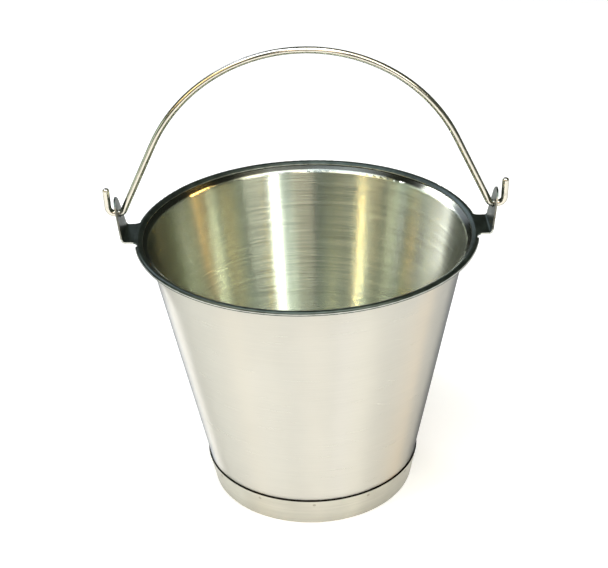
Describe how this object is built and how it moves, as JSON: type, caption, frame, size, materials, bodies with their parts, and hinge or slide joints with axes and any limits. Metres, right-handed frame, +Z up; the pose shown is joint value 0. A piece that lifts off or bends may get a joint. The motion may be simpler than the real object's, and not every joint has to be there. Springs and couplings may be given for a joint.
{
  "type": "feed bucket",
  "caption": "Tapered stainless steel feed bucket with a dished rim ring, upright ears, a foot ring and a swinging wire bail.",
  "frame": {"origin": "centre of the foot ring on the plane the bucket stands on", "axes": "+Z up through the mouth, +X through the two ears along the bail's pivot, +Y across it"},
  "size_m": [0.3616, 0.31, 0.4293],
  "materials": {
    "body_steel": "satin, brushed round the axis",
    "ring_steel": "satin",
    "foot_steel": "satin, brushed round the axis",
    "wire_steel": "polished",
    "weld_steel": "matt weld spots"
  },
  "bodies": {
    "bucket": {"pail_shell": "body_steel", "rim_ring": "ring_steel", "foot_ring": "foot_steel", "rim_ring_spot_welds": "weld_steel", "foot_ring_spot_welds": "weld_steel"},
    "handle": {"bail": "wire_steel"}
  },
  "joints": [
    {"name": "bail_swing", "type": "hinge", "parent": "bucket", "child": "handle", "pos_m": [0, 0, 0.2783], "axis": [1, 0, 0], "range_deg": [-96.5, 96.5]}
  ]
}
